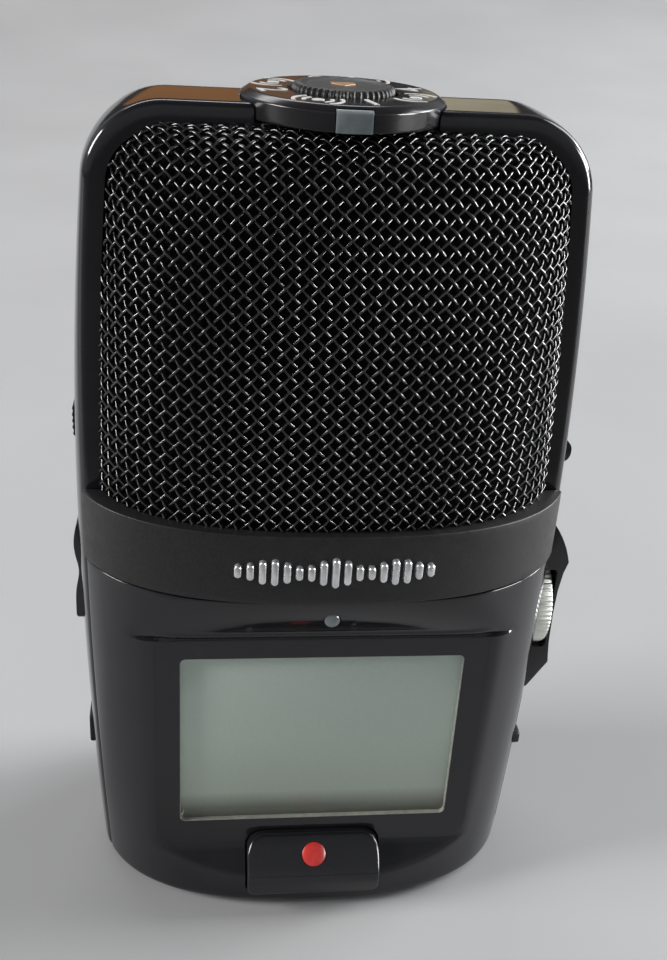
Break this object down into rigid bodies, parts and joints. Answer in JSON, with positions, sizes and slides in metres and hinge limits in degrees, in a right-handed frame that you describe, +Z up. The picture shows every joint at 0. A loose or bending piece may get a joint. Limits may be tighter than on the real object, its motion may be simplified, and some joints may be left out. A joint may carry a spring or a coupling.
{
  "type": "portable field recorder",
  "caption": "Pocket sound recorder with a glossy side arch, wire mesh microphone domes, a flat display, a record key, a mode dial on top and a gain wheel.",
  "frame": {"origin": "centre of the overall box at the base plane that the recorder stands on", "axes": "+Z up, the display and record key face -Y, the gain wheel is on the +X side"},
  "size_m": [0.0706, 0.0438, 0.1138],
  "materials": {
    "body_gloss": "piano gloss, moulded",
    "band_satin": "satin, fine moulded texture",
    "grille_wire": "woven steel wire, satin black paint",
    "foam_lining": "open-cell acoustic foam, matt",
    "ornament_chrome": "bright plated trim",
    "lens_clear": "clear acrylic with a black printed border",
    "lcd_face": "reflective grey-green display, unlit",
    "lamp_smoke": "translucent grey light window",
    "record_red": "semi-gloss red inlay",
    "wheel_silver": "satin plated, finely grooved",
    "rubber_black": "matt soft rubber",
    "steel_bright": "plain plated steel",
    "brass_insert": "turned",
    "board_green": "solder mask",
    "cell_wrap": "printed foil sleeve without lettering",
    "moulded_black": "fine texture"
  },
  "bodies": {
    "housing": {"base_plate": "moulded_black", "side_arch": "body_gloss", "front_shell": "body_gloss", "rear_shell": "body_gloss", "front_band": "band_satin", "rear_band": "band_satin", "front_grille": "grille_wire", "rear_grille": "grille_wire", "front_foam": "foam_lining", "rear_foam": "foam_lining", "badge": "ornament_chrome", "display_lens": "lens_clear", "lcd_module": "lcd_face", "status_lamp": "lamp_smoke", "mode_plate": "body_gloss", "lamp_window_front": "lamp_smoke", "lamp_window_rear": "lamp_smoke", "mode_switch": "moulded_black", "wheel_rail": "body_gloss", "gain_pot": "moulded_black", "line_in_jack": "moulded_black", "memory_card": "moulded_black", "card_socket": "steel_bright", "phones_jack": "moulded_black", "remote_jack": "moulded_black", "usb_socket": "steel_bright", "battery_left": "cell_wrap", "battery_right": "cell_wrap", "battery_tray": "moulded_black", "contact_spring_left": "steel_bright", "contact_spring_right": "steel_bright", "contact_plate": "steel_bright", "main_board": "board_green", "mic_mount": "moulded_black", "mid_capsule": "steel_bright", "side_capsule_left": "steel_bright", "side_capsule_right": "steel_bright", "rear_capsule_left": "steel_bright", "rear_capsule_right": "steel_bright", "speaker": "moulded_black", "tripod_insert": "brass_insert", "base_screw_left": "steel_bright", "base_screw_right": "steel_bright"},
    "mode_dial": {"mode_knob": "moulded_black", "mode_shaft": "moulded_black"},
    "gain_dial": {"gain_wheel": "wheel_silver", "gain_cap": "body_gloss"},
    "record_key": {"record_button": "body_gloss", "record_dot": "record_red"},
    "menu_key": {"menu_button": "body_gloss"},
    "play_key": {"play_lever": "body_gloss"},
    "volume_key": {"volume_rocker": "body_gloss"},
    "power_key": {"power_slider": "band_satin"},
    "card_door": {"card_cover": "band_satin"},
    "port_door": {"port_cover": "rubber_black"},
    "battery_door": {"battery_cover": "body_gloss"},
    "door_latch": {"battery_latch": "band_satin"}
  },
  "joints": [
    {"name": "mode_turn", "type": "hinge", "parent": "housing", "child": "mode_dial", "pos_m": [-0.00085, 0.0004, 0.113], "axis": [0, 0, 1], "range_deg": [-90, 180]},
    {"name": "gain_turn", "type": "hinge", "parent": "housing", "child": "gain_dial", "pos_m": [0.03215, 0.0004, 0.0412], "axis": [1, 0, 0], "range_deg": [-150, 150]},
    {"name": "record_press", "type": "slide", "parent": "housing", "child": "record_key", "axis": [0, 1, 0], "range_m": [0, 0.0007], "stiffness_N_per_m": 1200},
    {"name": "menu_press", "type": "slide", "parent": "housing", "child": "menu_key", "axis": [-1, 0, 0], "range_m": [0, 0.0006], "stiffness_N_per_m": 1200},
    {"name": "play_rock", "type": "hinge", "parent": "housing", "child": "play_key", "pos_m": [0.02965, 0.0004, 0.0666], "axis": [0, 1, 0], "range_deg": [-6, 6], "stiffness_Nm_per_rad": 0.02},
    {"name": "volume_rock", "type": "hinge", "parent": "housing", "child": "volume_key", "pos_m": [-0.03325, 0.0004, 0.0472], "axis": [0, 1, 0], "range_deg": [-2.5, 2.5], "stiffness_Nm_per_rad": 0.1},
    {"name": "power_slide", "type": "slide", "parent": "housing", "child": "power_key", "axis": [0, 0, 1], "range_m": [-0.002, 0.002]},
    {"name": "card_open", "type": "hinge", "parent": "housing", "child": "card_door", "pos_m": [0.03125, -0.00555, 0.0038], "axis": [0, 1, 0], "range_deg": [0, 100]},
    {"name": "port_open", "type": "hinge", "parent": "housing", "child": "port_door", "pos_m": [-0.03315, 0.0004, 0.0076], "axis": [0, -1, 0], "range_deg": [0, 100]},
    {"name": "battery_open", "type": "hinge", "parent": "housing", "child": "battery_door", "pos_m": [-0.00085, 0.0214, 0.0052], "axis": [-1, 0, 0], "range_deg": [0, 100]},
    {"name": "latch_slide", "type": "slide", "parent": "battery_door", "child": "door_latch", "axis": [0, 0, -1], "range_m": [0, 0.0015], "stiffness_N_per_m": 400}
  ]
}
